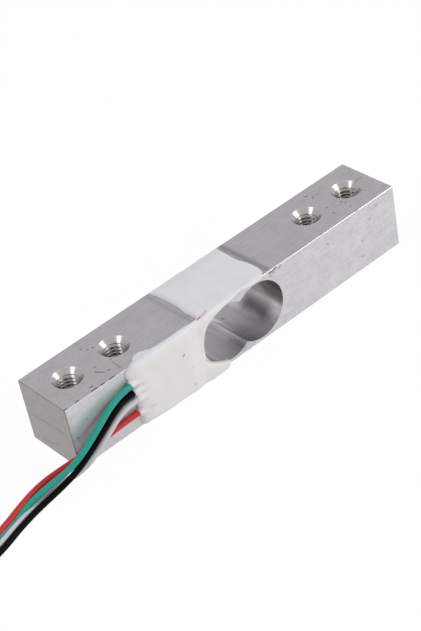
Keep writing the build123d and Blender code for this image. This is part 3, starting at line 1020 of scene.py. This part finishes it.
def aluminium():
    """Milled aluminium: fine grain, faint streaks along the bar, ends and top painted darker as painted
    shade, marks of use and patches of painted shade. The drilled and countersunk walls are smoother, so they
    shine."""
    made, tree, shader = material("milled_aluminium")
    place = object_place(tree)
    shade, blotch = metal_grain(tree, place)
    faces, long_edge, end_edge = face_masks(tree)
    region = bar_regions(tree, place, faces, long_edge, end_edge)
    color = grain_color(tree, shade)
    for change, mask, tone in (
        # Painted shade: the top face is painted darker, and the ends darker and warmer.
        (tinted, faces[2], (0.62, 0.61, 0.62, 1)),
        (tinted, faces[0], (0.53, 0.51, 0.49, 1)),
        (blend, region["worn"], (0.52, 0.51, 0.52, 1)),
        # Painted shade: the edges of the ends are painted dark.
        (blend, region["painted_shade_end_edges"], (0.22, 0.21, 0.21, 1)),
        (blend, region["hole"], (0.4, 0.385, 0.38, 1)),
        (tinted, region["thread"], (0.8, 0.76, 0.74, 1)),
        # Painted shade: the thread is painted darker deeper down in the hole.
        (tinted, region["deep_painted_shade"], (0.12, 0.11, 0.11, 1)),
        (tinted, region["bore"], (0.84, 0.83, 0.84, 1)),
        (blend, marks(tree, place, bar_marks), (0.03, 0.028, 0.03, 1)),
    ):
        color = change(tree, mask, color, tone)
    tree.links.new(color, shader.inputs["Base Color"])
    rough = mixed(tree, faces[1], step_mask(tree, blotch, 0.3, 0.7, (0.34, 0.46)), 0.3)
    rough = mixed(tree, number(tree, "MAXIMUM", region["hole"], region["bore"]), rough, 0.22)
    tree.links.new(rough, shader.inputs["Roughness"])
    tree.links.new(step_mask(tree, faces[1], 0.0, 1.0, (0.8, 0.3)), shader.inputs["Metallic"])
    bump = node(tree, "ShaderNodeBump", {"Height": shade, "Strength": 0.3, "Distance": 0.00003})
    tree.links.new(bump.outputs["Normal"], shader.inputs["Normal"])
    return made


give(bar, aluminium())

# %% [markdown]
# Cured silicone is white, glossy and slightly translucent, and it holds dust and faint pink traces of flux.
# A plain white plastic would look hard. So a little light passes into it, which softens its shadows, and a
# cloud of two whites also lifts its skin.

# %% Silicone
dark_marks = [
    ((13.0, 0, 9.1), (13.2, 0, 9.2), 0.36, 0.7),
    ((14.4, 0, 5.6), (14.5, 0, 5.7), 0.3, 0.2),
    ((14.1, 0, 2.0), (14.4, 0, 2.0), 0.4, 0.3),
    ((2.8, 0, 9.4), (3.3, 0, 9.3), 0.5, 0.35),
]
pink_marks = [((2.6, 0, 4.3), (5.6, 0, 3.6), 0.45, 0.4)]
slit_glow = [((18.3, -6.8, 13.0), (20.4, -6.3, 13.2), 0.5, 0.4)]
slit_marks = [
    ((17.9, -6.6, 13.0), (18.7, -6.45, 13.15), 0.26, 0.8),
    ((18.7, -6.45, 13.15), (20.3, -6.2, 13.25), 0.16, 0.4),
]
pink = (0.7, 0.42, 0.46, 1)
dark_red = (0.16, 0.03, 0.05, 1)
dust = (0.12, 0.12, 0.15, 1)


def white_silicone():
    """White silicone with a glossy, uneven skin. The front's marks are measured with y left out, so they
    reach the skin wherever it is, and those of the slit between two dabs lie at their own place."""
    made, tree, shader = material(
        "white_silicone", Roughness=0.34,
        Subsurface_Weight=0.25, Subsurface_Scale=0.0008, Subsurface_Radius=(1.0, 0.9, 0.8),
    )
    place = object_place(tree)
    whites = cloud(tree, place, 260.0, (0.79, 0.77, 0.765, 1), (0.92, 0.9, 0.89, 1))
    height = node(tree, "ShaderNodeSeparateXYZ", {"Vector": place}).outputs["Z"]
    # Painted shade: the silicone on the top face is painted a little darker and cooler than on the front.
    on_top = step_mask(tree, height, (top - 0.2) * MM, (top + 0.35) * MM)
    color = tinted(tree, on_top, whites.outputs["Color"], (0.93, 0.95, 1.0, 1))
    flat = vector(tree, "MULTIPLY", place, (1.0, 0.0, 1.0))
    for spot, lines, stain in (
        (flat, pink_marks, pink), (place, slit_glow, pink),
        (place, slit_marks, dark_red), (flat, dark_marks, dust),
    ):
        color = blend(tree, marks(tree, spot, lines), color, stain)
    tree.links.new(color, shader.inputs["Base Color"])
    lift = {"Height": whites.outputs["Height"], "Strength": 0.4, "Distance": 0.0002}
    tree.links.new(node(tree, "ShaderNodeBump", lift).outputs["Normal"], shader.inputs["Normal"])
    return made


give(silicone, white_silicone())
print("marks in the silicone:", len(dark_marks + pink_marks + slit_glow + slit_marks))

# %% [markdown]
# The rest is simple: smooth coloured insulation, and the inner pieces, which keep the measured solids. Each
# real material has a finish of its own, and the cloud breaks up its colour, so that the cell looks right with
# its silicone off too.

# %% Finishes made of one clouded colour
def plain(name, base, scale, darkening=0.75, **sockets):
    """One colour that the cloud darkens by a share, on a shader with the given constant sockets."""
    made, tree, shader = material(name, **sockets)
    darker = tuple(value * darkening for value in base) + (1,)
    tint = cloud(tree, object_place(tree), scale, darker, (*base, 1))
    tree.links.new(tint.outputs["Color"], shader.inputs["Base Color"])
    return made


insulation_colors = {
    "green": (0.015, 0.4, 0.31),
    "black": (0.002, 0.002, 0.003),
    "white": (0.74, 0.74, 0.8),
    "red": (0.68, 0.03, 0.035),
}
for color, base in insulation_colors.items():
    gloss = 0.06 if color == "black" else 0.3
    finish = plain(f"insulation_{color}", base, 500.0, 0.8, Roughness=0.4, Specular_IOR_Level=gloss)
    give(leads[color], finish)

# %% Finishes of the inner pieces and the bare tips
finishes = {
    "gauge_film": plain("amber_film", (0.5, 0.22, 0.03), 900.0, Roughness=0.3),
    "gauge_foil": plain("gauge_foil", (0.55, 0.46, 0.33), 900.0, Metallic=1.0, Roughness=0.35),
    "gauge_link": plain("enamelled_wire", (0.42, 0.14, 0.05), 900.0, Metallic=0.4, Roughness=0.3),
    "jumper_joints": plain("solder", (0.55, 0.55, 0.56), 900.0, Metallic=1.0, Roughness=0.3),
    "terminal_board": plain("board_laminate", (0.05, 0.2, 0.08), 700.0, Roughness=0.45),
    "terminal_strips": plain("bare_copper", (0.7, 0.33, 0.2), 900.0, Metallic=1.0, Roughness=0.35),
    "lead_tails": plain("tinned_copper", (0.6, 0.6, 0.58), 2500.0, Metallic=1.0, Roughness=0.35),
}
finishes["gauge_joints"] = finishes["lead_joints"] = finishes["jumper_joints"]
finishes["jumper_top"] = finishes["jumper_under"] = finishes["gauge_link"]
for color in routes:
    finishes[f"lead_{color}_tip"] = finishes["lead_tails"]
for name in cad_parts:
    for start, finish in finishes.items():
        if name.startswith(start):
            give(bpy.data.objects[name], finish)
print("finishes of CAD nodes:", len(finishes))

# %% [markdown]
# The set is a plain pale floor under soft lamps. A white sheet lit until it clips would spoil the colours, so
# floor and sky are bright only to rays that come from the camera, off a mirror or through glass. The
# background turns white, and a soft shadow is kept.

# %% Floor
floor_size = 3.0
glow_share = 0.975
floor_mesh = bpy.data.meshes.new("floor")
corners = [(-1, -1), (1, -1), (1, 1), (-1, 1)]
floor_mesh.from_pydata([(x * floor_size, y * floor_size, table * MM) for x, y in corners], [], [(0, 1, 2, 3)])
floor = add_object("floor", floor_mesh)


def seen_directly(tree):
    """1 for rays from the camera, off a mirror or through glass, and 0 for rays that light the object."""
    path = node(tree, "ShaderNodeLightPath").outputs
    near = number(tree, "MAXIMUM", path["Is Camera Ray"], path["Is Glossy Ray"])
    return number(tree, "MAXIMUM", near, path["Is Transmission Ray"])


def floor_finish():
    """Pale paper whose camera view is mostly plain white, so that only a soft shadow is left."""
    paper = (0.85, 0.85, 0.85, 1)
    made, tree, shader = material("pale_paper", Base_Color=paper, Roughness=0.9, Specular_IOR_Level=0.0)
    share = number(tree, "MULTIPLY", seen_directly(tree), glow_share)
    glow = node(tree, "ShaderNodeEmission", {"Color": (1, 1, 1, 1), "Strength": 1.0})
    mix = node(tree, "ShaderNodeMixShader", {0: share, 1: shader.outputs[0], 2: glow.outputs[0]})
    tree.links.new(mix.outputs[0], tree.nodes["Material Output"].inputs["Surface"])
    return made


give(floor, floor_finish())
print("floor at", round(table, 2), "mm")

# %% World and lamps
sky_light = 0.55
world = bpy.data.worlds.new("studio")
bpy.context.scene.world = world
world.use_nodes = True
sky = world.node_tree
background = sky.nodes["Background"].inputs
background["Color"].default_value = (1, 1, 1, 1)
sky.links.new(step_mask(sky, seen_directly(sky), 0.0, 1.0, (sky_light, 1.0)), background["Strength"])
aim = Vector((middle, 0, half))


def lamp(name, place, size, power):
    """A square soft lamp at a place in millimetres, turned to the bar's middle, with its power in watts."""
    light = bpy.data.lights.new(name, "AREA")
    light.shape = "SQUARE"
    light.size = size * MM
    light.energy = power
    made = add_object(name, light)
    turned = (aim - Vector(place)).to_track_quat("-Z", "Y").to_matrix().to_4x4()
    made.matrix_world = Matrix.Translation(Vector(place) * MM) @ turned


lamp("front_lamp", (200, -380, 160), 260, 0.3)
lamp("top_lamp", (-230, 10, 290), 130, 0.2)
lamp("side_lamp", (315, -195, 235), 150, 0.35)
bpy.context.scene.view_settings.view_transform = "Standard"
print("lamps:", len(bpy.data.lights))
